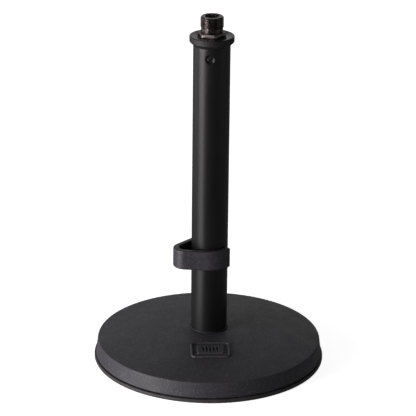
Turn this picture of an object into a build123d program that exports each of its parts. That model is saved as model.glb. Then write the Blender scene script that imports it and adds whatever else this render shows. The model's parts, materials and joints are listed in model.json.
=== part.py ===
from build123d import *
import os
from math import acos, copysign, cos, degrees, radians, tan

# A short microphone stand for a desk: a heavy domed base, a straight tube, a threaded stud
# at the top and a cable clip that snaps round the tube.
# Millimetres. +Z is up, the tube's axis is the Z axis, and Z = 0 is the desk.
# The front of the stand, where its badge is, faces -Y.

os.makedirs("parts", exist_ok=True)

# ---- Driving dimensions -------------------------------------------------------------------

INCH = 25.4

# Base casting: a shallow dome on a drafted side wall
RIM_RADIUS = 78.3                # where the dome meets the side wall
RIM_HEIGHT = 14.3
DOME_TOP = 22.0                  # height of the dome if it ran on to the axis
WALL_FOOT_RADIUS = 79.7
WALL_FOOT_HEIGHT = 3.5
CASTING_BOTTOM = 1.2
RIM_FILLET = 1.2
FOOT_LAND_RADIUS = 14.2          # flat, machined seat for the tube's foot
RECESS_INNER_RADIUS = 24.0       # shallow recess under the casting
RECESS_OUTER_RADIUS = 69.0
RECESS_DEPTH = 3.3
BOLT_POCKET_RADIUS = 15.0
BOLT_POCKET_TOP = 13.5

# Rubber ring round the casting's lower edge
RING_OUTER_RADIUS = 80.8
RING_INNER_RADIUS = 72.5
RING_SHELF_RADIUS = 77.2         # the ring's step, and the casting's rebate
RING_LIP_HEIGHT = 2.7
RING_EDGE = 0.5                  # chamfers on the lip's outer edges

# Raised badge, cast into the front of the dome
BADGE_WIDTH = 27.2
BADGE_DEPTH = 20.0
BADGE_CORNER = 3.0
BADGE_BORDER = 1.3
BADGE_RELIEF = 0.9
BADGE_CENTRE = 37.4              # distance of its middle from the axis
PANEL_WIDTH = 18.6
PANEL_DEPTH = 11.0
PANEL_CORNER = 1.2
FLUTE_COUNT = 5
FLUTE_WIDTH = 1.2
FLUTE_PITCH = 2.4
FLUTE_LENGTH = 6.0

# Tube
TUBE_RADIUS = INCH / 2
TUBE_WALL = 1.5
TUBE_TOP = 229.4
FOOT_FLANGE_RADIUS = 13.3        # flange of the plug in the tube's lower end
FOOT_FLANGE_HEIGHT = 1.0
FOOT_GAP = 0.1                   # the tube turns on the base here

# Stakes that hold the top plug: dents pressed through the tube's wall
STAKE_HEIGHT = 222.3
STAKE_RADIUS = 3.3
STAKE_DEPTH = 1.4
STAKE_COUNT = 3
STAKE_HEADING = -98.0

# Plugs pressed into the tube's ends
PRESS_CLEARANCE = 0.02
BOTTOM_PLUG_LENGTH = 20.0
TOP_PLUG_LENGTH = 22.0
CAP_RADIUS = 15.3                # flange of the top plug
CAP_TOP = 235.9
CAP_BEVEL = 2.5
CAP_EDGE = 0.6
STAKE_GROOVE_WIDTH = 9.0
STAKE_GROOVE_RADIUS = 9.4

# Metric M10 hardware
M10_RADIUS = 5.0
M10_ACROSS_FLATS = 17.0
M10_HEAD_HEIGHT = 6.4
M10_WASHER_RADIUS = 10.0
M10_WASHER_THICKNESS = 2.0
M10_SPRING_RADIUS = 9.05
M10_SPRING_THICKNESS = 2.2
M10_SPRING_SPLIT = 1.8
M10_SPRING_SPLIT_SKEW = 20.0     # the split runs this far off a radius
M10_BOLT_LENGTH = 30.0
M10_BOLT_TIP = 1.0               # chamfer on the bolt's end
M10_CLEARANCE_RADIUS = 5.5
THREAD_CLEARANCE = 0.05
HEX_TURNING = 1.5                # how far the 30 degree turning runs in from the corners

# Lock nut under the stud's head
LOCK_NUT_HEIGHT = 2.5
LOCK_NUT_HEADING = 162.8         # one corner's direction

# Stud: 5/8 inch outside thread with a 3/8 inch tapped bore, on an M10 shank
STUD_THREAD_RADIUS = 5 / 8 * INCH / 2
STUD_BORE_RADIUS = 3 / 8 * INCH / 2
STUD_NECK_RADIUS = 7.45
STUD_NECK_HEIGHT = 3.3
STUD_THREAD_HEIGHT = 7.7
STUD_BORE_DEPTH = 9.0
STUD_CHAMFER = 0.8
STUD_BORE_CHAMFER = 0.5
STUD_SHANK_BOTTOM = 210.0

# Cable clip: a band that grips the tube and runs out round a loop for the cable
CLIP_WALL = 4.2
CLIP_BOTTOM = 70.8
CLIP_HEIGHT = 13.95
CLIP_GRIP_CLEARANCE = 0.08
CLIP_LOOP_RADIUS = 9.0           # outside of the loop
CLIP_LOOP_REACH = 17.7           # from the tube's axis to the loop's centre
CLIP_LOOP_HEADING = 200.1
CLIP_MOUTH_HALF_ANGLE = 58.0     # the mouth is opposite the loop
CLIP_TOP_FILLET = 1.0
CLIP_BOTTOM_FILLET = 1.0

# ---- Worked out from them -----------------------------------------------------------------


def dome_height(radius):
    """Height of the domed top at a distance from the axis."""
    return DOME_TOP - (DOME_TOP - RIM_HEIGHT) * (radius / RIM_RADIUS) ** 2


tube_bore_radius = TUBE_RADIUS - TUBE_WALL
plug_radius = tube_bore_radius - PRESS_CLEARANCE
foot_height = dome_height(FOOT_LAND_RADIUS)
foot_flange_bottom = foot_height + FOOT_GAP
tube_bottom = foot_flange_bottom + FOOT_FLANGE_HEIGHT

washer_bottom = BOLT_POCKET_TOP - M10_WASHER_THICKNESS
spring_bottom = washer_bottom - M10_SPRING_THICKNESS
bolt_head_bottom = spring_bottom - M10_HEAD_HEIGHT

lock_nut_top = CAP_TOP + LOCK_NUT_HEIGHT
stud_thread_bottom = lock_nut_top + STUD_NECK_HEIGHT
stud_top = stud_thread_bottom + STUD_THREAD_HEIGHT


def dome_arc(inner_radius, lift=0.0):
    """Draw the dome's section from the rim in to inner_radius, raised by lift."""
    stations = (RIM_RADIUS, (RIM_RADIUS + inner_radius) / 2, inner_radius)
    ThreePointArc(*[(radius, dome_height(radius) + lift) for radius in stations])


def ring_band(outer_radius, inner_radius, bottom, height):
    """Add a plain washer-shaped ring to the part being built."""
    with BuildSketch(Plane.XY.offset(bottom)) as ring:
        Circle(outer_radius)
        Circle(inner_radius, mode=Mode.SUBTRACT)
    extrude(ring.sketch, amount=height)


def hex_prism(plain_face, turned_face, heading=0.0):
    """Add an M10 hexagon between two heights, its corners turned down at turned_face."""
    corner_radius = M10_ACROSS_FLATS / 2 / cos(radians(30))
    turning_depth = copysign(HEX_TURNING * tan(radians(30)), plain_face - turned_face)
    with BuildSketch(Plane.XY.offset(plain_face)) as hexagon:
        RegularPolygon(corner_radius, 6, rotation=heading)
    extrude(hexagon.sketch, amount=turned_face - plain_face)
    with BuildSketch(Plane.XZ) as turning:
        with BuildLine():
            Polyline(
                (0, plain_face),
                (corner_radius, plain_face),
                (corner_radius, turned_face + turning_depth),
                (corner_radius - HEX_TURNING, turned_face),
                (0, turned_face),
                close=True,
            )
        make_face()
    revolve(turning.sketch, axis=Axis.Z, mode=Mode.INTERSECT)


# ---- Base ---------------------------------------------------------------------------------

# The badge's raised border and fluted panel, trimmed so that they follow the dome.
with BuildPart() as badge:
    with BuildSketch(Plane.XY.offset(RIM_HEIGHT)):
        with Locations((0, -BADGE_CENTRE)):
            RectangleRounded(BADGE_WIDTH, BADGE_DEPTH, BADGE_CORNER)
            RectangleRounded(
                BADGE_WIDTH - 2 * BADGE_BORDER,
                BADGE_DEPTH - 2 * BADGE_BORDER,
                BADGE_CORNER - BADGE_BORDER,
                mode=Mode.SUBTRACT,
            )
            RectangleRounded(PANEL_WIDTH, PANEL_DEPTH, PANEL_CORNER)
            with GridLocations(FLUTE_PITCH, 0, FLUTE_COUNT, 1):
                SlotOverall(FLUTE_LENGTH, FLUTE_WIDTH, rotation=90, mode=Mode.SUBTRACT)
    extrude(amount=DOME_TOP + BADGE_RELIEF - RIM_HEIGHT)
    with BuildSketch(Plane.XZ):
        with BuildLine():
            dome_arc(0, lift=BADGE_RELIEF)
            Polyline(
                (0, DOME_TOP + BADGE_RELIEF),
                (0, RIM_HEIGHT),
                (RIM_RADIUS, RIM_HEIGHT),
                (RIM_RADIUS, RIM_HEIGHT + BADGE_RELIEF),
            )
        make_face()
    revolve(axis=Axis.Z, mode=Mode.INTERSECT)

with BuildPart() as base_casting:
    with BuildSketch(Plane.XZ) as casting_section:
        with BuildLine():
            dome_arc(FOOT_LAND_RADIUS)
            Polyline(
                (FOOT_LAND_RADIUS, foot_height),
                (0, foot_height),
                (0, BOLT_POCKET_TOP),
                (BOLT_POCKET_RADIUS, BOLT_POCKET_TOP),
                (BOLT_POCKET_RADIUS, CASTING_BOTTOM),
                (RECESS_INNER_RADIUS, CASTING_BOTTOM),
                (RECESS_INNER_RADIUS, CASTING_BOTTOM + RECESS_DEPTH),
                (RECESS_OUTER_RADIUS, CASTING_BOTTOM + RECESS_DEPTH),
                (RECESS_OUTER_RADIUS, CASTING_BOTTOM),
                (RING_SHELF_RADIUS, CASTING_BOTTOM),
                (RING_SHELF_RADIUS, WALL_FOOT_HEIGHT),
                (WALL_FOOT_RADIUS, WALL_FOOT_HEIGHT),
                (RIM_RADIUS, RIM_HEIGHT),
            )
        make_face()
        rim_corner = casting_section.vertices().sort_by_distance((RIM_RADIUS, RIM_HEIGHT))[0]
        fillet(rim_corner, radius=RIM_FILLET)
    revolve(axis=Axis.Z)
    with Locations((0, 0, foot_height)):
        Hole(M10_CLEARANCE_RADIUS)
    add(badge.part)
base_casting.part.label = "base_casting"
export_step(base_casting.part, "parts/base_casting.step")

with BuildPart() as rubber_edge_ring:
    with BuildSketch(Plane.XZ):
        with BuildLine():
            Polyline(
                (RING_INNER_RADIUS, 0),
                (RING_OUTER_RADIUS - RING_EDGE, 0),
                (RING_OUTER_RADIUS, RING_EDGE),
                (RING_OUTER_RADIUS, RING_LIP_HEIGHT - RING_EDGE),
                (RING_OUTER_RADIUS - RING_EDGE, RING_LIP_HEIGHT),
                (RING_SHELF_RADIUS, RING_LIP_HEIGHT),
                (RING_SHELF_RADIUS, CASTING_BOTTOM),
                (RING_INNER_RADIUS, CASTING_BOTTOM),
                close=True,
            )
        make_face()
    revolve(axis=Axis.Z)
rubber_edge_ring.part.label = "rubber_edge_ring"
export_step(rubber_edge_ring.part, "parts/rubber_edge_ring.step")

# ---- Bolt that holds the tube down --------------------------------------------------------

with BuildPart() as flat_washer:
    ring_band(M10_WASHER_RADIUS, M10_CLEARANCE_RADIUS, washer_bottom, M10_WASHER_THICKNESS)
flat_washer.part.label = "flat_washer"
export_step(flat_washer.part, "parts/flat_washer.step")

with BuildPart() as spring_washer:
    ring_band(
        M10_SPRING_RADIUS,
        M10_RADIUS + 2 * THREAD_CLEARANCE,
        spring_bottom,
        M10_SPRING_THICKNESS,
    )
    with BuildSketch(Plane.XY.offset(spring_bottom)):
        with Locations((M10_SPRING_RADIUS - M10_RADIUS / 2, 0)):
            Rectangle(M10_SPRING_RADIUS, M10_SPRING_SPLIT, rotation=M10_SPRING_SPLIT_SKEW)
    extrude(amount=M10_SPRING_THICKNESS, mode=Mode.SUBTRACT)
spring_washer.part.label = "spring_washer"
export_step(spring_washer.part, "parts/spring_washer.step")

with BuildPart() as base_bolt:
    hex_prism(plain_face=spring_bottom, turned_face=bolt_head_bottom)
    with BuildSketch(Plane.XY.offset(spring_bottom)):
        Circle(M10_RADIUS)
    extrude(amount=M10_BOLT_LENGTH)
    bolt_tip = base_bolt.edges().filter_by(GeomType.CIRCLE).sort_by(Axis.Z)[-1]
    chamfer(bolt_tip, length=M10_BOLT_TIP)
base_bolt.part.label = "base_bolt"
export_step(base_bolt.part, "parts/base_bolt.step")

# ---- Tube and its plugs -------------------------------------------------------------------

with BuildPart() as bottom_plug:
    with BuildSketch(Plane.XY.offset(foot_flange_bottom)):
        Circle(FOOT_FLANGE_RADIUS)
    extrude(amount=FOOT_FLANGE_HEIGHT)
    with BuildSketch(Plane.XY.offset(tube_bottom)):
        Circle(plug_radius)
    extrude(amount=BOTTOM_PLUG_LENGTH)
    with Locations((0, 0, tube_bottom + BOTTOM_PLUG_LENGTH)):
        Hole(M10_RADIUS + THREAD_CLEARANCE)
bottom_plug.part.label = "bottom_plug"
export_step(bottom_plug.part, "parts/bottom_plug.step")

# Each stake is a ball-ended dent: the wall keeps its thickness and bulges into the bore.
stake_ball = (STAKE_RADIUS ** 2 + STAKE_DEPTH ** 2) / (2 * STAKE_DEPTH)
stake_centre = TUBE_RADIUS + stake_ball - STAKE_DEPTH
with BuildPart() as mast_tube:
    with Locations((0, 0, STAKE_HEIGHT)):
        with PolarLocations(stake_centre, STAKE_COUNT, start_angle=STAKE_HEADING):
            Sphere(stake_ball + TUBE_WALL)
    with Locations((0, 0, STAKE_HEIGHT)):
        Cylinder(TUBE_RADIUS - TUBE_WALL / 2, 2 * (stake_ball + TUBE_WALL), mode=Mode.INTERSECT)
    ring_band(TUBE_RADIUS, tube_bore_radius, tube_bottom, TUBE_TOP - tube_bottom)
    with Locations((0, 0, STAKE_HEIGHT)):
        with PolarLocations(stake_centre, STAKE_COUNT, start_angle=STAKE_HEADING):
            Sphere(stake_ball, mode=Mode.SUBTRACT)
mast_tube.part.label = "mast_tube"
export_step(mast_tube.part, "parts/mast_tube.step")

with BuildPart() as top_plug:
    with BuildSketch(Plane.XZ):
        groove_bottom = STAKE_HEIGHT - STAKE_GROOVE_WIDTH / 2
        groove_top = STAKE_HEIGHT + STAKE_GROOVE_WIDTH / 2
        bevel_top = TUBE_TOP + CAP_BEVEL
        with BuildLine():
            Polyline(
                (0, TUBE_TOP - TOP_PLUG_LENGTH),
                (plug_radius, TUBE_TOP - TOP_PLUG_LENGTH),
                (plug_radius, groove_bottom),
                (STAKE_GROOVE_RADIUS, groove_bottom),
                (STAKE_GROOVE_RADIUS, groove_top),
                (plug_radius, groove_top),
                (plug_radius, TUBE_TOP),
                (TUBE_RADIUS, TUBE_TOP),
                (CAP_RADIUS, bevel_top),
                (CAP_RADIUS, CAP_TOP - CAP_EDGE),
                (CAP_RADIUS - CAP_EDGE, CAP_TOP),
                (0, CAP_TOP),
                close=True,
            )
        make_face()
    revolve(axis=Axis.Z)
    with Locations((0, 0, CAP_TOP)):
        Hole(M10_RADIUS + PRESS_CLEARANCE)
top_plug.part.label = "top_plug"
export_step(top_plug.part, "parts/top_plug.step")

# ---- Threaded head ------------------------------------------------------------------------

with BuildPart() as stud_lock_nut:
    hex_prism(plain_face=CAP_TOP, turned_face=lock_nut_top, heading=LOCK_NUT_HEADING)
    with Locations((0, 0, lock_nut_top)):
        Hole(M10_RADIUS + PRESS_CLEARANCE)
stud_lock_nut.part.label = "stud_lock_nut"
export_step(stud_lock_nut.part, "parts/stud_lock_nut.step")

with BuildPart() as thread_stud:
    with BuildSketch(Plane.XZ):
        with BuildLine():
            Polyline(
                (0, STUD_SHANK_BOTTOM),
                (M10_RADIUS, STUD_SHANK_BOTTOM),
                (M10_RADIUS, lock_nut_top),
                (STUD_NECK_RADIUS, lock_nut_top),
                (STUD_NECK_RADIUS, stud_thread_bottom),
                (STUD_THREAD_RADIUS, stud_thread_bottom + STUD_CHAMFER / 2),
                (STUD_THREAD_RADIUS, stud_top - STUD_CHAMFER),
                (STUD_THREAD_RADIUS - STUD_CHAMFER, stud_top),
                (STUD_BORE_RADIUS + STUD_BORE_CHAMFER, stud_top),
                (STUD_BORE_RADIUS, stud_top - STUD_BORE_CHAMFER),
                (STUD_BORE_RADIUS, stud_top - STUD_BORE_DEPTH),
                (0, stud_top - STUD_BORE_DEPTH),
                close=True,
            )
        make_face()
    revolve(axis=Axis.Z)
thread_stud.part.label = "thread_stud"
export_step(thread_stud.part, "parts/thread_stud.step")

# ---- Cable clip ---------------------------------------------------------------------------

# Drawn with the loop along the local X axis. The middle of the band follows two arcs, one
# round the tube and one round the loop, and the two lines that touch both.
grip_radius = TUBE_RADIUS + CLIP_GRIP_CLEARANCE + CLIP_WALL / 2
loop_radius = CLIP_LOOP_RADIUS - CLIP_WALL / 2
tangent_angle = degrees(acos((grip_radius - loop_radius) / CLIP_LOOP_REACH))
jaw_angle = 180 - CLIP_MOUTH_HALF_ANGLE
clip_plane = Plane.XY.offset(CLIP_BOTTOM).rotated((0, 0, CLIP_LOOP_HEADING))
with BuildPart() as cable_clip:
    with BuildSketch(clip_plane):
        with BuildLine():
            upper_jaw = CenterArc((0, 0), grip_radius, tangent_angle, jaw_angle - tangent_angle)
            loop = CenterArc(
                (CLIP_LOOP_REACH, 0), loop_radius, -tangent_angle, 2 * tangent_angle
            )
            lower_jaw = CenterArc((0, 0), grip_radius, -jaw_angle, jaw_angle - tangent_angle)
            Line(upper_jaw @ 0, loop @ 1)
            Line(lower_jaw @ 1, loop @ 0)
            offset(amount=CLIP_WALL / 2)
        make_face()
    extrude(amount=CLIP_HEIGHT)
    fillet(cable_clip.faces().sort_by(Axis.Z)[-1].edges(), radius=CLIP_TOP_FILLET)
    fillet(cable_clip.faces().sort_by(Axis.Z)[0].edges(), radius=CLIP_BOTTOM_FILLET)
cable_clip.part.label = "cable_clip"
export_step(cable_clip.part, "parts/cable_clip.step")
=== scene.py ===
import json
from math import acos, ceil, cos, degrees, hypot, pi, radians, sin, tan

import bmesh
import bpy
from mathutils import Matrix, Vector


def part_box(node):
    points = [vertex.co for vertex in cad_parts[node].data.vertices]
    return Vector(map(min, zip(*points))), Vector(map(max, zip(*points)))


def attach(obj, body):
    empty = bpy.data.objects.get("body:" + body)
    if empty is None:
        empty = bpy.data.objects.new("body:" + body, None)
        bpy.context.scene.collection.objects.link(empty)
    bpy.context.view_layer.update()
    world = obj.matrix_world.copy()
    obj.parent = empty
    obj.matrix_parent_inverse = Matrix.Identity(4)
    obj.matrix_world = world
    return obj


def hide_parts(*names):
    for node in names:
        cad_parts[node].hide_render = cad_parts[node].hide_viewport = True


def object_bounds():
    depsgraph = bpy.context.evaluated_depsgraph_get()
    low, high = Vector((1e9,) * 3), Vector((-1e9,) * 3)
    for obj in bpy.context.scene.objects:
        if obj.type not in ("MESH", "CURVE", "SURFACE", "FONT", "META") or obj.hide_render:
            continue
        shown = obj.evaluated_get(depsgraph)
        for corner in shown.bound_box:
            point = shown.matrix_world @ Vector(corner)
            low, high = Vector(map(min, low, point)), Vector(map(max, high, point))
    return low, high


# A short microphone stand for a desk. Each piece is built from the same sizes as its CAD node,
# with finer detail, and stands for that node. Metres, +Z up, the tube's axis is the Z axis, and
# the front of the stand, where its badge is, faces -Y.

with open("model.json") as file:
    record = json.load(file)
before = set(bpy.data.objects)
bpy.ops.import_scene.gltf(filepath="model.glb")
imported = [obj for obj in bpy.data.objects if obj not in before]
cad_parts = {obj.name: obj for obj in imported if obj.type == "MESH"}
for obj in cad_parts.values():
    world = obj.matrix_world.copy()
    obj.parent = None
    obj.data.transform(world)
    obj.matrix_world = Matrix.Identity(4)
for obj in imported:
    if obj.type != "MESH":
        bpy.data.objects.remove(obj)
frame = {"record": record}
cad_box = [list(corner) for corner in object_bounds()]

MM = 0.001


def low(node, axis=2):
    """Lowest coordinate of a CAD node along an axis."""
    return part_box(node)[0][axis]


def high(node, axis=2):
    """Highest coordinate of a CAD node along an axis."""
    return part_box(node)[1][axis]


# ---- Sizes --------------------------------------------------------------------------------
# Names in capitals are chosen sizes. The others are worked out from them and from the frame.

stand_height = cad_box[1][2]

# Base casting
wall_foot_radius = high("base_casting", 0)
casting_bottom = low("base_casting")
rim_radius = wall_foot_radius - 1.4 * MM
rim_height = casting_bottom + 13.1 * MM
dome_top = rim_height + 7.7 * MM
wall_foot_height = casting_bottom + 2.3 * MM
FOOT_LAND_RADIUS = 14.2 * MM
foot_land_height = low("bottom_plug") - 0.1 * MM      # the tube turns on the base here
BOLT_HOLE_RADIUS = 5.5 * MM
BOLT_POCKET_RADIUS = 15 * MM
bolt_pocket_top = high("flat_washer")
RECESS_INNER_RADIUS = 24 * MM
RECESS_OUTER_RADIUS = 69 * MM
recess_top = casting_bottom + 3.3 * MM
RIM_ROUNDING = 1.2 * MM
CAST_ROUNDING = 0.7 * MM
CUT_ROUNDING = 0.3 * MM           # where the casting is machined, and on the tube's lower end
RIM_MARGIN = 2 * MM               # the points over the dome stop this far short of the rim

# Badge cast into the front of the dome
BADGE_CENTRE = -37.4 * MM
BADGE_WIDTH = 27.2 * MM
BADGE_DEPTH = 20 * MM
BADGE_CORNER = 3 * MM
BADGE_BORDER = 1.3 * MM
BADGE_RELIEF = 0.9 * MM
PANEL_WIDTH = 18.6 * MM
PANEL_DEPTH = 11 * MM
PANEL_CORNER = 1.2 * MM
FLUTE_WIDTH = 1.2 * MM
FLUTE_LENGTH = 6 * MM
FLUTE_PITCH = 2.4 * MM
FLUTES_EACH_SIDE = 2
BADGE_SOFTNESS = 0.35 * MM        # width of each sloping edge under the powder coat
BADGE_MARGIN = 0.5 * MM           # how far the dome's fine mesh runs on past the badge
BADGE_SIDE_MARGIN = 8             # the same at its sides, in degrees

# Rubber ring
ring_outer_radius = high("rubber_edge_ring", 0)
ring_lip_height = high("rubber_edge_ring")
ring_shelf_radius = wall_foot_radius - 2.5 * MM
RING_INNER_RADIUS = 72.5 * MM
RING_INNER_ROUNDING = 0.3 * MM
LIP_ROUNDING = 0.6 * MM
LIP_INNER_ROUNDING = 0.2 * MM
LIP_WAVE = 0.14 * MM
LIP_WAVES = ((3, 0.8, 0.25), (7, 2.0, 0.15), (17, 0, 0.1))    # each: waves round it, phase, share

# Tube and plugs
TUBE_WALL = 1.5 * MM
TUBE_TOP_ROUNDING = 0.2 * MM
TUBE_END_MARGIN = 0.4 * MM        # the points along the wall stop this far short of its ends
tube_radius = high("mast_tube", 0)
tube_bore_radius = tube_radius - TUBE_WALL
tube_bottom = low("mast_tube")
tube_top = high("mast_tube")
PRESS_CLEARANCE = 0.02 * MM       # round the plugs, and round the stud's shank
plug_radius = tube_bore_radius - PRESS_CLEARANCE
foot_flange_radius = high("bottom_plug", 0)
cap_radius = high("top_plug", 0)
cap_top = high("top_plug")
CAP_BEVEL_HEIGHT = 2.5 * MM
CAP_BEVEL_FOOT_ROUNDING = 0.15 * MM
CAP_BEVEL_ROUNDING = 0.45 * MM
CAP_ROUNDING = 0.6 * MM           # round the cap's top, and on each plug's end in the tube
FLANGE_FOOT_ROUNDING = 0.2 * MM
FLANGE_ROUNDING = 0.35 * MM
STAKE_GROOVE_RADIUS = 9.4 * MM
STAKE_GROOVE_HALF_WIDTH = 4.5 * MM

# Stakes pressed through the tube's wall into the top plug
stake_height = tube_top - 7.1 * MM
STAKE_RADIUS = 3.3 * MM
STAKE_DEPTH = 1.15 * MM
STAKE_WALL = 1.1 * MM             # width of the dent's sloping side
STAKE_TEAR = 0.1 * MM             # height and size of the uneven places on its floor
STAKE_TEAR_SIZE = 0.6 * MM
STAKE_MARGIN = 0.9 * MM           # how far the tube's fine mesh runs on past the dent
STAKE_HEADINGS = (-98, 22, 142)

# M10 hardware
M10_RADIUS = 5 * MM
M10_TIP = 1 * MM
TAP_CLEARANCE = 0.05 * MM
m10_tap_radius = M10_RADIUS + TAP_CLEARANCE           # the bottom plug's tapped hole
m10_press_radius = M10_RADIUS + PRESS_CLEARANCE       # the top plug's and lock nut's bore
HEX_ACROSS_FLATS = 17 * MM
HEX_SIDE = 60                     # degrees that each side takes up
hex_side_middle = HEX_ACROSS_FLATS / 2
hex_corner_radius = hex_side_middle / cos(radians(HEX_SIDE / 2))
HEX_TURNING = 1.5 * MM            # how far in, and at what angle, the corners are turned down
HEX_TURNING_ANGLE = 30
HEX_EDGE = 0.18 * MM              # how far the sharp edges are worn off
WASHER_HOLE_ROUNDING = 0.15 * MM  # round the flat washer's hole and its upper edge
WASHER_ROUNDING = 0.35 * MM       # round its lower edge and both of the spring washer's
SPRING_HOLE_ROUNDING = 0.25 * MM
SPRING_CLEARANCE = 0.1 * MM
SPRING_SPLIT = 1.8 * MM
LOCK_NUT_HEADING = 162.8          # one corner's direction, in degrees

# Stud
mounts = {mount["name"]: mount["dims"] for mount in frame["record"]["mounts"]}
stud_thread_radius = mounts["stud_thread"]["r_mm"] * MM
stud_bore_radius = mounts["stud_bore"]["r_mm"] * MM
STUD_NECK_RADIUS = 7.45 * MM
stud_top = high("thread_stud")
stud_neck_top = high("stud_lock_nut") + 3.3 * MM
stud_bore_bottom = stud_top - 9 * MM
INCH = 0.0254
outside_pitch = INCH / 27
inside_pitch = INCH / 16
outside_depth = 0.61 * outside_pitch
inside_depth = 0.54 * inside_pitch
thread_crest_radius = stud_bore_radius - inside_depth
THREAD_FLANK = 1.35               # full height of the flanks, against the thread's depth
THREAD_CREST = 0.15               # how much of that is missing at the flat crests
THREAD_LEAD = 2                   # how steeply the outside thread starts above the neck
DRILL_TIP_RADIUS = 0.3 * MM
DRILL_TIP_DEPTH = 1 * MM
STUD_CHAMFER = 0.8 * MM
BORE_CHAMFER = 0.5 * MM
STUD_EDGE = 0.2 * MM

# Cable clip
clip_bottom = low("cable_clip")
clip_top = high("cable_clip")
CLIP_WALL = 4.2 * MM
CLIP_CLEARANCE = 0.08 * MM
CLIP_LOOP_OUTER_RADIUS = 9 * MM
clip_grip_radius = tube_radius + CLIP_CLEARANCE + CLIP_WALL / 2       # to the band's middle
clip_loop_radius = CLIP_LOOP_OUTER_RADIUS - CLIP_WALL / 2
CLIP_LOOP_REACH = 17.7 * MM
CLIP_LOOP_HEADING = 200.1
CLIP_JAW_ANGLE = 122
CLIP_ROUNDING = 1.0 * MM
CLIP_END_POINTS = 8               # points round each end of the band

# How far apart a mesh's points lie: round the axis in degrees, and along a piece
TURN_STEP = 3
CASTING_TURN_STEP = 2.4
BADGE_TURN_STEP = 0.25
STAKE_TURN_STEP = 0.9
LOOP_TURN_STEP = 4
DOME_SPACING = 2.5 * MM
RIM_SPACING = 3 * MM
FINE_SPACING = 0.2 * MM           # over the badge and the stakes
TUBE_SPACING = 12 * MM
COLLAR_SPACING = 2 * MM
OUTSIDE_THREAD_ROWS = 10          # for each turn of the thread
INSIDE_THREAD_ROWS = 14

SHADING_WEIGHT = 90               # above 50, larger faces count for more in smooth shading


# ---- Mesh tools ---------------------------------------------------------------------------


def ease(share):
    """Smooth step from 0 to 1."""
    share = min(max(share, 0), 1)
    return share * share * (3 - 2 * share)


def soft_positive(value, softness):
    """The value where it is above 0 and 0 below, with a rounded change between."""
    nearness = max(softness - abs(value), 0) / softness
    return max(value, 0) + nearness * nearness * softness / 4


def even(start, end, step):
    """Evenly spaced numbers from start up to but not including end, no further apart than step."""
    count = max(1, ceil(abs(end - start) / step - 0.001))
    return [start + (end - start) * i / count for i in range(count)]


def turn_angles(step, fine_step=None, fine_spans=()):
    """Headings once round, in degrees, closer together inside the given spans."""
    headings = []
    at = -180.0
    for start, end in sorted(fine_spans):
        headings += even(at, start, step) if start > at else []
        headings += even(start, end, fine_step)
        at = end
    return headings + even(at, 180.0, step)


def rounded(corners, closed=True, steps=5):
    """Turn (radius, height, rounding) corners into a profile with arcs at the corners."""
    profile = []
    count = len(corners)
    for i, (r, z, rounding) in enumerate(corners):
        corner = Vector((r, z))
        if rounding == 0 or (not closed and i in (0, count - 1)):
            profile.append((r, z))
            continue
        before = (Vector(corners[i - 1][:2]) - corner).normalized()
        after = (Vector(corners[(i + 1) % count][:2]) - corner).normalized()
        half_angle = before.angle(after) / 2
        setback = rounding / tan(half_angle)
        centre = corner + (before + after).normalized() * rounding / sin(half_angle)
        start = corner + before * setback - centre
        end = corner + after * setback - centre
        sweep = start.angle_signed(end)
        for step in range(steps + 1):
            spoke = start.copy()
            spoke.rotate(Matrix.Rotation(-sweep * step / steps, 2))
            profile.append(tuple(centre + spoke))
    return profile


def piece(name, points, faces, node, body, material):
    """Make a mesh piece, smooth it, give it its material and put it on its body."""
    mesh = bpy.data.meshes.new(name)
    mesh.from_pydata(points, [], faces)
    sides = bmesh.new()
    sides.from_mesh(mesh)
    bmesh.ops.recalc_face_normals(sides, faces=sides.faces)
    sides.to_mesh(mesh)
    sides.free()
    mesh.shade_smooth()
    mesh.materials.append(material)
    shape = bpy.data.objects.new(name, mesh)
    bpy.context.scene.collection.objects.link(shape)
    weighting = shape.modifiers.new("even_shading", "WEIGHTED_NORMAL")
    weighting.weight = SHADING_WEIGHT
    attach(shape, body)
    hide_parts(node)
    return shape


def turned(profile, headings, shape=None):
    """Rows of points, one for each profile point, turned round the axis.

    shape, where given, takes a point's radius, angle and height and says where it lies.
    """
    rows = []
    for r, z in profile:
        row = []
        for heading in headings:
            angle = radians(heading)
            at_r, at_z = shape(r, angle, z) if shape else (r, z)
            row.append((at_r * cos(angle), at_r * sin(angle), at_z))
        rows.append(row)
    return rows


def skin(rows, closed_section=False, full_turn=True, caps=False):
    """Points and faces of the surface through rows of equally many points."""
    points = [point for row in rows for point in row]
    width = len(rows[0])
    faces = []
    for i in range(len(rows) if closed_section else len(rows) - 1):
        here = i * width
        above = (i + 1) % len(rows) * width
        for j in range(width if full_turn else width - 1):
            k = (j + 1) % width
            faces.append((here + j, here + k, above + k, above + j))
    if caps and full_turn:
        faces.append(tuple(range(width)))
        faces.append(tuple(range(len(points) - width, len(points))))
    elif caps:
        faces.append(tuple(range(0, len(points), width)))
        faces.append(tuple(range(width - 1, len(points), width)))
    return points, faces


# ---- Materials ----------------------------------------------------------------------------


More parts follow.
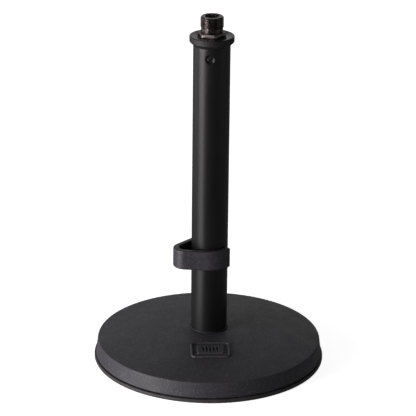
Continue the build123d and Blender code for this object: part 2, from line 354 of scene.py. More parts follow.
class Paint:
    """A material under construction: a Principled shader and the texture nodes that feed it."""

    def __init__(self, name, **constants):
        self.material = bpy.data.materials.new(name)
        self.material.use_nodes = True
        self.tree = self.material.node_tree
        self.shader = self.tree.nodes["Principled BSDF"]
        for socket, value in constants.items():
            self.shader.inputs[socket.replace("_", " ")].default_value = value
        self.place = self.tree.nodes.new("ShaderNodeTexCoord").outputs["Object"]
        self.normal = None

    def link(self, source, target):
        """Join a node's output to another node's input."""
        self.tree.links.new(source, target)

    def noise(self, size, detail=2.0, roughness=0.5, stretch=(1, 1, 1), warp=0.0):
        """Noise from 0 to 1 whose lumps are about size metres across."""
        mapping = self.tree.nodes.new("ShaderNodeMapping")
        mapping.inputs["Scale"].default_value = stretch
        texture = self.tree.nodes.new("ShaderNodeTexNoise")
        texture.inputs["Scale"].default_value = 1 / size
        texture.inputs["Detail"].default_value = detail
        texture.inputs["Roughness"].default_value = roughness
        texture.inputs["Distortion"].default_value = warp
        self.link(self.place, mapping.inputs["Vector"])
        self.link(mapping.outputs["Vector"], texture.inputs["Vector"])
        return texture.outputs["Fac"]

    def scaled(self, value, start, end, to_start=0.0, to_end=1.0):
        """The value mapped from one span to another and held at its ends."""
        node = self.tree.nodes.new("ShaderNodeMapRange")
        node.inputs["From Min"].default_value = start
        node.inputs["From Max"].default_value = end
        node.inputs["To Min"].default_value = to_start
        node.inputs["To Max"].default_value = to_end
        self.link(value, node.inputs["Value"])
        return node.outputs["Result"]

    def combine(self, operation, first, second):
        """Two values, or a value and a number, put together by a Math node."""
        node = self.tree.nodes.new("ShaderNodeMath")
        node.operation = operation
        for value, socket in zip((first, second), node.inputs):
            if isinstance(value, float):
                socket.default_value = value
            else:
                self.link(value, socket)
        return node.outputs["Value"]

    def radius(self):
        """Distance from the stand's axis."""
        flat = self.tree.nodes.new("ShaderNodeMapping")
        flat.inputs["Scale"].default_value = (1, 1, 0)
        length = self.tree.nodes.new("ShaderNodeVectorMath")
        length.operation = "LENGTH"
        self.link(self.place, flat.inputs["Vector"])
        self.link(flat.outputs["Vector"], length.inputs[0])
        return length.outputs["Value"]

    def height(self):
        """Height above the desk."""
        node = self.tree.nodes.new("ShaderNodeSeparateXYZ")
        self.link(self.place, node.inputs["Vector"])
        return node.outputs["Z"]

    def blend(self, share, first, second):
        """A colour between two colours, or between the output of one blend and another colour."""
        node = self.tree.nodes.new("ShaderNodeMix")
        node.data_type = "RGBA"
        self.link(share, node.inputs["Factor"])
        for colour, socket in zip((first, second), (node.inputs[6], node.inputs[7])):
            if isinstance(colour, tuple):
                socket.default_value = (*colour, 1)
            else:
                self.link(colour, socket)
        return node.outputs[2]

    def bump(self, height, depth, strength=1.0):
        """Add relief depth metres deep on top of the relief there is."""
        node = self.tree.nodes.new("ShaderNodeBump")
        node.inputs["Distance"].default_value = depth
        node.inputs["Strength"].default_value = strength
        self.link(height, node.inputs["Height"])
        if self.normal:
            self.link(self.normal, node.inputs["Normal"])
        self.normal = node.outputs["Normal"]

    def finish(self, colour, roughness):
        """Give the shader its colour, roughness and relief, and hand over the material."""
        self.link(colour, self.shader.inputs["Base Color"])
        self.link(roughness, self.shader.inputs["Roughness"])
        self.link(self.normal, self.shader.inputs["Normal"])
        return self.material


def powder_coat():
    """Fine-textured black powder coat on the iron base."""
    dark = (0.027, 0.0258, 0.0315)
    light = (0.036, 0.0345, 0.0415)
    specks = (0.13, 0.126, 0.145)
    smooth, dull = 0.5, 0.62
    paint = Paint("powder_coat", IOR=1.5)
    grain = paint.noise(1.1 * MM, detail=3, roughness=0.65)
    pores = paint.noise(0.3 * MM, detail=1)
    clouds = paint.noise(28 * MM, detail=3)
    handled = paint.noise(9 * MM, detail=4, roughness=0.65, warp=0.6)
    paint.bump(clouds, 0.5 * MM, strength=0.25)
    paint.bump(grain, 0.3 * MM, strength=0.9)
    paint.bump(pores, 0.05 * MM, strength=0.5)
    tone = paint.blend(paint.scaled(clouds, 0.3, 0.7), dark, light)
    tone = paint.blend(paint.scaled(grain, 0.57, 0.75), tone, specks)
    rough = paint.scaled(handled, 0.3, 0.75, smooth, dull)
    return paint.finish(tone, rough)


def edge_rubber():
    """Dull black rubber, a little brown, with a matt bloom."""
    dark = (0.026, 0.024, 0.0235)
    light = (0.052, 0.049, 0.048)
    smooth, dull = 0.55, 0.72
    paint = Paint("edge_rubber", IOR=1.5)
    bloom = paint.noise(6 * MM, detail=4, roughness=0.6)
    skin_marks = paint.noise(0.9 * MM, detail=3, roughness=0.6)
    streaks = paint.noise(2.5 * MM, detail=2, stretch=(1, 1, 5))
    paint.bump(streaks, 0.12 * MM, strength=0.4)
    paint.bump(skin_marks, 0.08 * MM, strength=0.5)
    tone = paint.blend(paint.scaled(bloom, 0.35, 0.7), dark, light)
    rough = paint.scaled(bloom, 0.3, 0.7, smooth, dull)
    return paint.finish(tone, rough)


def satin_paint():
    """Satin black paint on the tube: a faint orange peel and fine rubbed marks."""
    dark = (0.0045, 0.0045, 0.0048)
    light = (0.0068, 0.0068, 0.0072)
    smooth, dull = 0.32, 0.4
    paint = Paint("satin_paint", IOR=1.42)
    peel = paint.noise(1.6 * MM, detail=2)
    grain = paint.noise(0.35 * MM, detail=2)
    patches = paint.noise(22 * MM, detail=3, stretch=(1, 1, 0.5))
    rubbed = paint.noise(4 * MM, detail=4, roughness=0.7, stretch=(1, 1, 0.12))
    paint.bump(peel, 0.08 * MM, strength=0.35)
    paint.bump(grain, 0.02 * MM, strength=0.5)
    tone = paint.blend(paint.scaled(patches, 0.3, 0.7), dark, light)
    rough = paint.scaled(rubbed, 0.3, 0.75, smooth, dull)
    return paint.finish(tone, rough)


def cast_paint():
    """The same black on the cast plugs: rough and greyish, smoother on the cap's turned top."""
    dark = (0.007, 0.0068, 0.0074)
    light = (0.016, 0.0155, 0.0168)
    rubbed = (0.05, 0.05, 0.053)
    smooth, dull = 0.27, 0.56
    paint = Paint("cast_paint", IOR=1.4)
    sanding = paint.noise(0.5 * MM, detail=3, roughness=0.6)
    lumps = paint.noise(2.4 * MM, detail=3, roughness=0.6)
    worn = paint.noise(1.4 * MM, detail=4, roughness=0.7, stretch=(1, 1, 0.6))
    paint.bump(lumps, 0.12 * MM, strength=0.5)
    paint.bump(sanding, 0.05 * MM, strength=0.6)
    tone = paint.blend(paint.scaled(lumps, 0.3, 0.7), dark, light)
    tone = paint.blend(paint.scaled(worn, 0.62, 0.78), tone, rubbed)
    turned_top = paint.scaled(paint.height(), cap_top - 0.3 * MM, cap_top, dull, smooth)
    rough = paint.combine("ADD", turned_top, paint.scaled(lumps, 0.3, 0.75, -0.04, 0.04))
    return paint.finish(tone, rough)


def black_oxide(name, dark, light, smooth, dull):
    """Blackened steel on the head: brown where handled, bare on the thread's worn crests."""
    bare = (0.3, 0.26, 0.24)
    paint = Paint(name, Metallic=1.0)
    stain = paint.noise(2.2 * MM, detail=4, roughness=0.65, warp=0.4)
    grain = paint.noise(0.25 * MM, detail=2)
    crest = paint.scaled(paint.radius(), stud_thread_radius - 0.3 * MM, stud_thread_radius)
    above_neck = paint.scaled(paint.height(), stud_neck_top, stud_neck_top + 0.5 * MM)
    worn = paint.combine("MULTIPLY", crest, above_neck)
    worn = paint.combine("MULTIPLY", worn, paint.scaled(stain, 0.4, 0.65))
    paint.bump(grain, 0.02 * MM, strength=0.6)
    paint.bump(stain, 0.05 * MM, strength=0.3)
    tone = paint.blend(paint.scaled(stain, 0.35, 0.7), dark, light)
    tone = paint.blend(worn, tone, bare)
    rough = paint.scaled(stain, 0.3, 0.7, smooth, dull)
    return paint.finish(tone, rough)


def zinc_steel():
    """Bright zinc plate on the bolt and washers under the base."""
    bright = (0.52, 0.53, 0.54)
    grey = (0.36, 0.36, 0.35)
    smooth, dull = 0.26, 0.44
    paint = Paint("zinc_steel", Metallic=1.0)
    bloom = paint.noise(3 * MM, detail=4, roughness=0.6)
    turning = paint.noise(0.35 * MM, detail=2)
    paint.bump(turning, 0.03 * MM, strength=0.4)
    tone = paint.blend(paint.scaled(bloom, 0.35, 0.7), bright, grey)
    rough = paint.scaled(bloom, 0.3, 0.7, smooth, dull)
    return paint.finish(tone, rough)


def clip_plastic():
    """Moulded black nylon: a slightly cool grey with a fine spark-eroded texture."""
    dark = (0.026, 0.0245, 0.0305)
    light = (0.035, 0.0332, 0.0405)
    specks = (0.085, 0.08, 0.094)
    smooth, dull = 0.38, 0.48
    paint = Paint("clip_plastic", IOR=1.5)
    spark = paint.noise(1.3 * MM, detail=3, roughness=0.65)
    flow = paint.noise(7 * MM, detail=3, stretch=(1, 1, 1.6), warp=0.5)
    paint.bump(flow, 0.12 * MM, strength=0.3)
    paint.bump(spark, 0.22 * MM, strength=1.0)
    tone = paint.blend(paint.scaled(flow, 0.3, 0.7), dark, light)
    tone = paint.blend(paint.scaled(spark, 0.56, 0.74), tone, specks)
    rough = paint.scaled(flow, 0.3, 0.7, smooth, dull)
    return paint.finish(tone, rough)


# ---- Base ---------------------------------------------------------------------------------


def dome_height(r):
    """Height of the domed top at a distance from the axis."""
    return dome_top - (dome_top - rim_height) * (r / rim_radius) ** 2


def rounded_rectangle(x, y, width, depth, corner):
    """Distance from a point to a rounded rectangle's outline, negative inside it."""
    across = abs(x) - width / 2 + corner
    along = abs(y) - depth / 2 + corner
    return hypot(max(across, 0), max(along, 0)) + min(max(across, along), 0) - corner


def badge_height(x, y):
    """How far the badge stands out of the dome at a place on it."""
    y -= BADGE_CENTRE
    from_border = abs(
        rounded_rectangle(
            x,
            y,
            BADGE_WIDTH - BADGE_BORDER,
            BADGE_DEPTH - BADGE_BORDER,
            BADGE_CORNER - BADGE_BORDER / 2,
        )
    )
    from_panel = rounded_rectangle(x, y, PANEL_WIDTH, PANEL_DEPTH, PANEL_CORNER)
    flute = min(max(round(x / FLUTE_PITCH), -FLUTES_EACH_SIDE), FLUTES_EACH_SIDE)
    past_flute_end = max(abs(y) - (FLUTE_LENGTH - FLUTE_WIDTH) / 2, 0)
    from_flute = hypot(x - flute * FLUTE_PITCH, past_flute_end)
    border = ease((BADGE_BORDER / 2 - from_border) / BADGE_SOFTNESS + 0.5)
    panel = ease(-from_panel / BADGE_SOFTNESS + 0.5)
    panel *= ease((from_flute - FLUTE_WIDTH / 2) / BADGE_SOFTNESS + 0.5)
    return BADGE_RELIEF * max(border, panel)


def cast_surface(r, angle, z):
    """The casting's turned shape with the badge standing out of its dome."""
    on_dome = z > rim_height and r > FOOT_LAND_RADIUS
    return r, z + (badge_height(r * cos(angle), r * sin(angle)) if on_dome else 0)


def base_casting(material):
    """The domed iron base, hollowed underneath round a pocket for the bolt's head."""
    badge_near = -BADGE_CENTRE - BADGE_DEPTH / 2 - BADGE_MARGIN
    badge_far = hypot(BADGE_WIDTH / 2, BADGE_CENTRE - BADGE_DEPTH / 2) + BADGE_MARGIN
    badge_side = degrees(acos(-BADGE_CENTRE / hypot(BADGE_CENTRE, BADGE_WIDTH / 2)))
    badge_side += BADGE_SIDE_MARGIN
    dome_radii = (
        even(FOOT_LAND_RADIUS, badge_near, DOME_SPACING)
        + even(badge_near, badge_far, FINE_SPACING)
        + even(badge_far, rim_radius - RIM_MARGIN, RIM_SPACING)
    )
    profile = rounded(
        [(BOLT_HOLE_RADIUS, foot_land_height, CUT_ROUNDING)]
        + [(r, dome_height(r), 0) for r in dome_radii]
        + [
            (rim_radius, rim_height, RIM_ROUNDING),
            (wall_foot_radius, wall_foot_height, CUT_ROUNDING),
            (ring_shelf_radius, wall_foot_height, 0),
            (ring_shelf_radius, casting_bottom, CUT_ROUNDING),
            (RECESS_OUTER_RADIUS, casting_bottom, CAST_ROUNDING),
            (RECESS_OUTER_RADIUS, recess_top, CAST_ROUNDING),
            (RECESS_INNER_RADIUS, recess_top, CAST_ROUNDING),
            (RECESS_INNER_RADIUS, casting_bottom, CAST_ROUNDING),
            (BOLT_POCKET_RADIUS, casting_bottom, CAST_ROUNDING),
            (BOLT_POCKET_RADIUS, bolt_pocket_top, CAST_ROUNDING),
            (BOLT_HOLE_RADIUS, bolt_pocket_top, CUT_ROUNDING),
        ]
    )
    badge_span = (-90 - badge_side, -90 + badge_side)
    headings = turn_angles(CASTING_TURN_STEP, BADGE_TURN_STEP, [badge_span])
    rows = turned(profile, headings, cast_surface)
    points, faces = skin(rows, closed_section=True)
    piece("cast_base", points, faces, "base_casting", "base", material)


def lip_surface(r, angle, z):
    """The ring's turned shape with an outer lip that is trimmed a little unevenly."""
    wave = 0.5 + sum(share * sin(count * angle + phase) for count, phase, share in LIP_WAVES)
    outward = ease((r - ring_shelf_radius) / (ring_outer_radius - ring_shelf_radius))
    upward = ease(z / ring_lip_height)
    return r - LIP_WAVE * wave * outward, z - LIP_WAVE * wave * outward * upward


def rubber_edge_ring(material):
    """The ring that the base stands on, with a lip round the wall's foot."""
    profile = rounded(
        [
            (RING_INNER_RADIUS, 0, RING_INNER_ROUNDING),
            (ring_outer_radius, 0, LIP_ROUNDING),
            (ring_outer_radius, ring_lip_height, LIP_ROUNDING),
            (ring_shelf_radius, ring_lip_height, LIP_INNER_ROUNDING),
            (ring_shelf_radius, casting_bottom, 0),
            (RING_INNER_RADIUS, casting_bottom, RING_INNER_ROUNDING),
        ]
    )
    rows = turned(profile, turn_angles(TURN_STEP / 2), lip_surface)
    points, faces = skin(rows, closed_section=True)
    piece("edge_ring", points, faces, "rubber_edge_ring", "base", material)


# ---- Hexagons and hardware ----------------------------------------------------------------


def hexagon_rows(headings, plain, turned_face, corner_heading=0.0):
    """Rows over an M10 hexagon's outside, from the face whose corners are turned down."""
    up = 1 if plain > turned_face else -1
    flat_radius = hex_corner_radius - HEX_TURNING
    rows = [[], [], [], [], []]
    for heading in headings:
        from_side_middle = (heading - corner_heading) % HEX_SIDE - HEX_SIDE / 2
        side = hex_side_middle / cos(radians(from_side_middle))
        side = side - soft_positive(side - hex_corner_radius + HEX_EDGE, HEX_EDGE)
        turning = max(side - flat_radius, 0) * tan(radians(HEX_TURNING_ANGLE))
        stations = (
            (flat_radius - HEX_EDGE / 2, turned_face),
            (flat_radius + HEX_EDGE / 2, turned_face + up * HEX_EDGE / 4),
            (side, turned_face + up * (turning + HEX_EDGE / 2)),
            (side, plain - up * HEX_EDGE),
            (side - HEX_EDGE, plain),
        )
        for row, (r, z) in zip(rows, stations):
            row.append((r * cos(radians(heading)), r * sin(radians(heading)), z))
    return rows


def base_bolt(material):
    """The bolt that holds the tube's bottom plug from under the base."""
    headings = turn_angles(TURN_STEP)
    head_bottom = low("base_bolt")
    head_top = low("spring_washer")
    shank_top = high("base_bolt")
    shank = [
        (M10_RADIUS, head_top),
        (M10_RADIUS, shank_top - M10_TIP),
        (M10_RADIUS - M10_TIP, shank_top),
    ]
    rows = hexagon_rows(headings, plain=head_top, turned_face=head_bottom)
    rows += turned(shank, headings)
    points, faces = skin(rows, caps=True)
    piece("hex_bolt", points, faces, "base_bolt", "base", material)


def flat_washer(material):
    """The wide washer against the casting."""
    bottom, top = low("flat_washer"), high("flat_washer")
    radius = high("flat_washer", 0)
    profile = rounded(
        [
            (BOLT_HOLE_RADIUS, bottom, WASHER_HOLE_ROUNDING),
            (radius, bottom, WASHER_ROUNDING),
            (radius, top, WASHER_HOLE_ROUNDING),
            (BOLT_HOLE_RADIUS, top, WASHER_HOLE_ROUNDING),
        ]
    )
    points, faces = skin(turned(profile, turn_angles(TURN_STEP)), closed_section=True)
    piece("plain_washer", points, faces, "flat_washer", "base", material)


def spring_washer(material):
    """The split washer between the bolt's head and the flat washer."""
    bottom, top = low("spring_washer"), high("spring_washer")
    radius = high("spring_washer", 0)
    inner_radius = M10_RADIUS + SPRING_CLEARANCE
    gap = degrees(SPRING_SPLIT / radius)
    profile = rounded(
        [
            (inner_radius, bottom, SPRING_HOLE_ROUNDING),
            (radius, bottom, WASHER_ROUNDING),
            (radius, top, WASHER_ROUNDING),
            (inner_radius, top, SPRING_HOLE_ROUNDING),
        ]
    )
    headings = even(gap / 2, 360 - gap / 2, TURN_STEP) + [360 - gap / 2]
    rows = turned(profile, headings)
    points, faces = skin(rows, closed_section=True, full_turn=False, caps=True)
    piece("split_washer", points, faces, "spring_washer", "base", material)


# ---- Tube and plugs -----------------------------------------------------------------------


def staked_surface(r, angle, z):
    """The tube's wall pushed in at each stake, with an uneven floor where the metal tore."""
    dent = 0
    for heading in STAKE_HEADINGS:
        around = (angle - radians(heading) + pi) % (2 * pi) - pi
        across, up = tube_radius * around, z - stake_height
        wall = ease((STAKE_RADIUS - hypot(across, up)) / STAKE_WALL)
        torn = STAKE_TEAR * sin(across / STAKE_TEAR_SIZE) * cos(up / STAKE_TEAR_SIZE + 1)
        dent = max(dent, wall * (STAKE_DEPTH + torn))
    return r - dent, z


def mast_tube(material):
    """The upright tube, with finer points round its stakes."""
    reach = STAKE_RADIUS + STAKE_MARGIN
    side_reach = degrees(reach / tube_radius)
    heights = (
        even(tube_bottom + TUBE_END_MARGIN, stake_height - reach, TUBE_SPACING)
        + even(stake_height - reach, stake_height + reach, FINE_SPACING)
        + even(stake_height + reach, tube_top - TUBE_END_MARGIN, COLLAR_SPACING)
    )
    outside = [(tube_radius, z, 0) for z in heights]
    inside = [(tube_bore_radius, z, 0) for z in reversed(heights)]
    bottom = [(r, tube_bottom, CUT_ROUNDING) for r in (tube_bore_radius, tube_radius)]
    top = [(r, tube_top, TUBE_TOP_ROUNDING) for r in (tube_radius, tube_bore_radius)]
    profile = rounded(bottom + outside + top + inside, steps=3)
    spans = [(heading - side_reach, heading + side_reach) for heading in STAKE_HEADINGS]
    headings = turn_angles(TURN_STEP, STAKE_TURN_STEP, spans)
    rows = turned(profile, headings, staked_surface)
    points, faces = skin(rows, closed_section=True)
    piece("painted_tube", points, faces, "mast_tube", "mast", material)


def bottom_plug(material):
    """The tapped plug in the tube's foot, with a flange that rests on the base."""
    flange_bottom = low("bottom_plug")
    profile = rounded(
        [
            (m10_tap_radius, flange_bottom, 0),
            (foot_flange_radius, flange_bottom, FLANGE_FOOT_ROUNDING),
            (foot_flange_radius, tube_bottom, FLANGE_ROUNDING),
            (plug_radius, tube_bottom, 0),
            (plug_radius, high("bottom_plug"), CAP_ROUNDING),
            (m10_tap_radius, high("bottom_plug"), 0),
        ]
    )
    points, faces = skin(turned(profile, turn_angles(TURN_STEP)), closed_section=True)
    piece("foot_plug", points, faces, "bottom_plug", "mast", material)


def top_plug(material):
    """The plug in the tube's top, with its bevelled cap and a groove for the stakes."""
    groove_bottom = stake_height - STAKE_GROOVE_HALF_WIDTH
    groove_top = stake_height + STAKE_GROOVE_HALF_WIDTH
    profile = rounded(
        [
            (m10_press_radius, low("top_plug"), 0),
            (plug_radius, low("top_plug"), CAP_ROUNDING),
            (plug_radius, groove_bottom, 0),
            (STAKE_GROOVE_RADIUS, groove_bottom, 0),
            (STAKE_GROOVE_RADIUS, groove_top, 0),
            (plug_radius, groove_top, 0),
            (plug_radius, tube_top, 0),
            (tube_radius, tube_top, CAP_BEVEL_FOOT_ROUNDING),
            (cap_radius, tube_top + CAP_BEVEL_HEIGHT, CAP_BEVEL_ROUNDING),
            (cap_radius, cap_top, CAP_ROUNDING),
            (m10_press_radius, cap_top, 0),
        ]
    )
    points, faces = skin(turned(profile, turn_angles(TURN_STEP)), closed_section=True)
    piece("cap_plug", points, faces, "top_plug", "mast", material)


# ---- Threaded head ------------------------------------------------------------------------


def stud_lock_nut(material):
    """The thin nut that locks the stud against the cap."""
    headings = turn_angles(TURN_STEP)
    bottom, top = low("stud_lock_nut"), high("stud_lock_nut")
    rows = hexagon_rows(headings, bottom, top, LOCK_NUT_HEADING)
    bore = [(m10_press_radius, bottom), (m10_press_radius, top)]
    rows += turned(bore, headings)
    points, faces = skin(rows, closed_section=True)
    piece("lock_nut", points, faces, "stud_lock_nut", "mast", material)


def thread_groove(angle, z, pitch, depth):
    """How deep a right-handed V thread is cut at an angle and height."""
    turn = (z / pitch - angle / (2 * pi)) % 1
    return depth * min(max(THREAD_FLANK * abs(2 * turn - 1) - THREAD_CREST, 0), 1)


def outside_thread(r, angle, z):
    """The stud's head cut by its outside thread."""
    cut_radius = stud_thread_radius - thread_groove(angle, z, outside_pitch, outside_depth)
    return min(r, cut_radius), z


def inside_thread(r, angle, z):
    """The stud's bore cut by its inside thread."""
    cut_radius = thread_crest_radius + thread_groove(angle, z, inside_pitch, inside_depth)
    return max(r, cut_radius), z


def thread_stud(material):
    """The stud: a shank, a neck, and a thread outside and inside its head."""
    headings = turn_angles(TURN_STEP)
    shank_bottom, neck_bottom = low("thread_stud"), high("stud_lock_nut")
    shank = [
        (M10_RADIUS - M10_TIP, shank_bottom),
        (M10_RADIUS, shank_bottom + M10_TIP),
        (M10_RADIUS, neck_bottom),
        (STUD_NECK_RADIUS - STUD_EDGE, neck_bottom),
        (STUD_NECK_RADIUS, neck_bottom + STUD_EDGE),
        (STUD_NECK_RADIUS, stud_neck_top - STUD_EDGE / 2),
    ]
    outside = []
    for z in even(stud_neck_top, stud_top, outside_pitch / OUTSIDE_THREAD_ROWS):
        from_neck = (z - stud_neck_top) * THREAD_LEAD
        from_top = stud_top - z
        limit = min(STUD_NECK_RADIUS + from_neck, stud_thread_radius - STUD_CHAMFER + from_top)
        outside.append((min(limit, stud_thread_radius), z))
    rim = [
        (stud_thread_radius - STUD_CHAMFER, stud_top - STUD_EDGE / 4),
        (stud_thread_radius - STUD_CHAMFER - STUD_EDGE / 2, stud_top),
        (stud_bore_radius + BORE_CHAMFER + STUD_EDGE / 2, stud_top),
    ]
    inside = []
    for z in reversed(even(stud_bore_bottom, stud_top, inside_pitch / INSIDE_THREAD_ROWS)):
        countersunk = stud_bore_radius + BORE_CHAMFER - (stud_top - z)
        inside.append((max(thread_crest_radius, countersunk), z))
    drill_point = [(DRILL_TIP_RADIUS, stud_bore_bottom - DRILL_TIP_DEPTH)]
    rows = (
        turned(shank, headings)
        + turned(outside, headings, outside_thread)
        + turned(rim, headings)
        + turned(inside, headings, inside_thread)
        + turned(drill_point, headings)
    )
    points, faces = skin(rows, caps=True)
    piece("threaded_stud", points, faces, "thread_stud", "mast", material)


# ---- Cable clip ---------------------------------------------------------------------------


def clip_middle():
    """Points along the middle of the clip's band, each with its outward direction.

    The loop is drawn along +X: an arc round the tube, the loop's arc, and an arc round the
    tube again, with straight runs between them.
    """
    tangent = degrees(acos((clip_grip_radius - clip_loop_radius) / CLIP_LOOP_REACH))
    middle = []
    for heading in even(-CLIP_JAW_ANGLE, -tangent, TURN_STEP) + [-tangent]:
        outward = Vector((cos(radians(heading)), sin(radians(heading))))
        middle.append((outward * clip_grip_radius, outward))
    for heading in even(-tangent, tangent, LOOP_TURN_STEP) + [tangent]:
        outward = Vector((cos(radians(heading)), sin(radians(heading))))
        middle.append((Vector((CLIP_LOOP_REACH, 0)) + outward * clip_loop_radius, outward))
    for heading in even(tangent, CLIP_JAW_ANGLE, TURN_STEP) + [CLIP_JAW_ANGLE]:
        outward = Vector((cos(radians(heading)), sin(radians(heading))))
        middle.append((outward * clip_grip_radius, outward))
    return middle


def band_outline(middle, half_width):
    """Once round a band of that half width, its two ends rounded."""
    outline = [at + outward * half_width for at, outward in middle]
    for (at, outward), along in ((middle[-1], 1), (middle[0], -1)):
        onward = Vector((-outward.y, outward.x)) * along
        for i in range(CLIP_END_POINTS):
            swing = pi * (i + 1) / (CLIP_END_POINTS + 1)
            outline.append(at + (outward * along * cos(swing) + onward * sin(swing)) * half_width)
        if along == 1:
            outline += [at - outward * half_width for at, outward in reversed(middle)]
    return outline


def cable_clip(material):
    """The clip: a band with rounded edges, open at its jaws."""
    half_wall = CLIP_WALL / 2
    middle = clip_middle()
    edge = rounded(
        [
            (0, clip_bottom, 0),
            (half_wall, clip_bottom, CLIP_ROUNDING),
            (half_wall, clip_top, CLIP_ROUNDING),
            (0, clip_top, 0),
        ],
        closed=False,
        steps=7,
    )[1:-1]
    turn = Matrix.Rotation(radians(CLIP_LOOP_HEADING), 2)
    rows = []
    for half_width, z in edge:
        outline = [turn @ at for at in band_outline(middle, half_width)]
        rows.append([(at.x, at.y, z) for at in outline])
    points, faces = skin(rows)
    # The flat top and bottom are strips of faces between the band's outer side and its inner
    # side, which runs the other way round: point i faces point (across - i).
    width = len(rows[0])
    last_row = len(points) - width
    across = 2 * len(middle) + CLIP_END_POINTS - 1
    for start in (0, last_row):
        for i in range(-CLIP_END_POINTS // 2, len(middle) + CLIP_END_POINTS // 2 - 1):
            corners = (i, i + 1, across - i - 1, across - i)
            faces.append(tuple(start + corner % width for corner in corners))
    piece("cable_hook", points, faces, "cable_clip", "clip", material)


# ---- Build it -----------------------------------------------------------------------------

coat = powder_coat()
rubber = edge_rubber()
tube_paint = satin_paint()
plug_paint = cast_paint()
stud_steel = black_oxide(
    "stud_steel",
    dark=(0.052, 0.045, 0.046),
    light=(0.135, 0.11, 0.106),
    smooth=0.18,
    dull=0.32,
)
# The lock nut's black oxide is a lighter copy of the stud's: painted light, so that the nut looks as
# bright as where the key light catches it.
nut_steel_painted_lighter = black_oxide(
    "nut_steel_painted_lighter",
    dark=(0.115, 0.1, 0.098),
    light=(0.23, 0.197, 0.188),
    smooth=0.4,
    dull=0.54,
)
zinc = zinc_steel()
plastic = clip_plastic()

base_casting(coat)
rubber_edge_ring(rubber)
base_bolt(zinc)
flat_washer(zinc)
spring_washer(zinc)
mast_tube(tube_paint)
bottom_plug(plug_paint)
top_plug(plug_paint)
stud_lock_nut(nut_steel_painted_lighter)
thread_stud(stud_steel)
cable_clip(plastic)

# ---- Floor, light and camera --------------------------------------------------------------

floor_reach = 12 * stand_height
FLOOR_TONE = 0.9
FLOOR_ROUGHNESS = 0.9
FLOOR_GLOW = 0.86
HORIZON = 0.1                     # how far above and below it the surroundings change
KEY_TINT = (1.0, 0.955, 0.98)     # white with a very little pink

CAMERA_HEADING = -92.2
CAMERA_ELEVATION = 21.03
CAMERA_ROLL = 0.626
CAMERA_LENS = 200
CAMERA_SENSOR = 36
camera_distance = 6.424 * stand_height
camera_aim = Vector((-0.0058 * stand_height, 0, 0.4455 * stand_height))


def floor():
    """A wide pale floor that glows a little, like a lit table, and can't be seen from below."""
    mesh = bpy.data.meshes.new("pale_floor")
    signs = ((-1, -1), (1, -1), (1, 1), (-1, 1))
    corners = [(x * floor_reach, y * floor_reach, 0) for x, y in signs]
    mesh.from_pydata(corners, [], [(0, 1, 2, 3)])
    table = bpy.data.objects.new("pale_floor", mesh)
    bpy.context.scene.collection.objects.link(table)
    material = bpy.data.materials.new("pale_floor")
    material.use_nodes = True
    tree = material.node_tree
    shader = tree.nodes["Principled BSDF"]
    shader.inputs["Base Color"].default_value = (FLOOR_TONE, FLOOR_TONE, FLOOR_TONE, 1)
    shader.inputs["Roughness"].default_value = FLOOR_ROUGHNESS
    shader.inputs["Emission Color"].default_value = (1, 1, 1, 1)
    shader.inputs["Emission Strength"].default_value = FLOOR_GLOW
    side = tree.nodes.new("ShaderNodeNewGeometry")
    clear = tree.nodes.new("ShaderNodeBsdfTransparent")
    choice = tree.nodes.new("ShaderNodeMixShader")
    tree.links.new(side.outputs["Backfacing"], choice.inputs["Fac"])
    tree.links.new(shader.outputs["BSDF"], choice.inputs[1])
    tree.links.new(clear.outputs["BSDF"], choice.inputs[2])
    tree.links.new(choice.outputs["Shader"], tree.nodes["Material Output"].inputs["Surface"])
    mesh.materials.append(material)
    table.visible_diffuse = False
    table.visible_glossy = False
    table.visible_shadow = False


def softbox(name, heading, elevation, width, height, power, distance=1.5, colour=(1, 1, 1)):
    """A rectangular area light that faces the middle of the stand."""
    light = bpy.data.lights.new(name, "AREA")
    light.color = colour
    light.shape = "RECTANGLE"
    light.size = width
    light.size_y = height
    light.energy = power
    lamp = bpy.data.objects.new(name, light)
    direction = Vector(
        (
            cos(radians(elevation)) * cos(radians(heading)),
            cos(radians(elevation)) * sin(radians(heading)),
            sin(radians(elevation)),
        )
    )
    lamp.location = Vector((0, 0, stand_height / 2)) + direction * distance
    lamp.rotation_euler = direction.to_track_quat("Z", "Y").to_euler()
    bpy.context.scene.collection.objects.link(lamp)


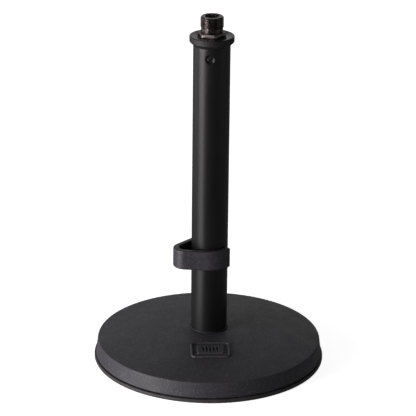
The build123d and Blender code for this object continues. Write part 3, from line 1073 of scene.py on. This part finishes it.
def surroundings(above, below):
    """Even white light all round, of one strength from above and another from below."""
    world = bpy.data.worlds.new("studio")
    world.use_nodes = True
    tree = world.node_tree
    background = tree.nodes["Background"]
    background.inputs["Color"].default_value = (1, 1, 1, 1)
    direction = tree.nodes.new("ShaderNodeTexCoord")
    split = tree.nodes.new("ShaderNodeSeparateXYZ")
    horizon = tree.nodes.new("ShaderNodeMapRange")
    horizon.inputs["From Min"].default_value = -HORIZON
    horizon.inputs["From Max"].default_value = HORIZON
    horizon.inputs["To Min"].default_value = below
    horizon.inputs["To Max"].default_value = above
    tree.links.new(direction.outputs["Generated"], split.inputs["Vector"])
    tree.links.new(split.outputs["Z"], horizon.inputs["Value"])
    tree.links.new(horizon.outputs["Result"], background.inputs["Strength"])
    bpy.context.scene.world = world


def camera():
    """A long lens in front of the stand, looking a little down on it and rolled very slightly."""
    heading, elevation = radians(CAMERA_HEADING), radians(CAMERA_ELEVATION)
    back = Vector((cos(elevation) * cos(heading), cos(elevation) * sin(heading), sin(elevation)))
    right = Vector((-sin(heading), cos(heading), 0))
    up = back.cross(right)
    turn = Matrix((right, up, back)).transposed()
    data = bpy.data.cameras.new("camera")
    data.lens = CAMERA_LENS
    data.sensor_width = CAMERA_SENSOR
    seen = bpy.data.objects.new("camera", data)
    roll = Matrix.Rotation(radians(CAMERA_ROLL), 3, "Z")
    place = Matrix.Translation(camera_aim + back * camera_distance)
    seen.matrix_world = place @ (turn @ roll).to_4x4()
    bpy.context.scene.collection.objects.link(seen)
    bpy.context.scene.camera = seen


floor()
surroundings(above=0.045, below=0.125)
# The key light is at the left and a little in front, with a weak one below it for the light
# that the table returns. The rest are faint: at the left, behind, above and at the right.
softbox("key", heading=-153, elevation=6, width=0.9, height=0.8, power=30.5, colour=KEY_TINT)
softbox("key_bounce", heading=-153, elevation=-25, width=0.8, height=0.8, power=3.6, colour=KEY_TINT)
softbox("side", heading=159, elevation=5, width=1.0, height=1.2, power=4.0)
softbox("back", heading=89, elevation=17, width=2.0, height=0.9, power=2.8, distance=1.3)
softbox("top", heading=-92, elevation=68, width=0.6, height=0.4, power=0.7)
softbox("right", heading=-21, elevation=10, width=1.2, height=1.2, power=1.6)
camera()
bpy.context.scene.view_settings.view_transform = "Standard"
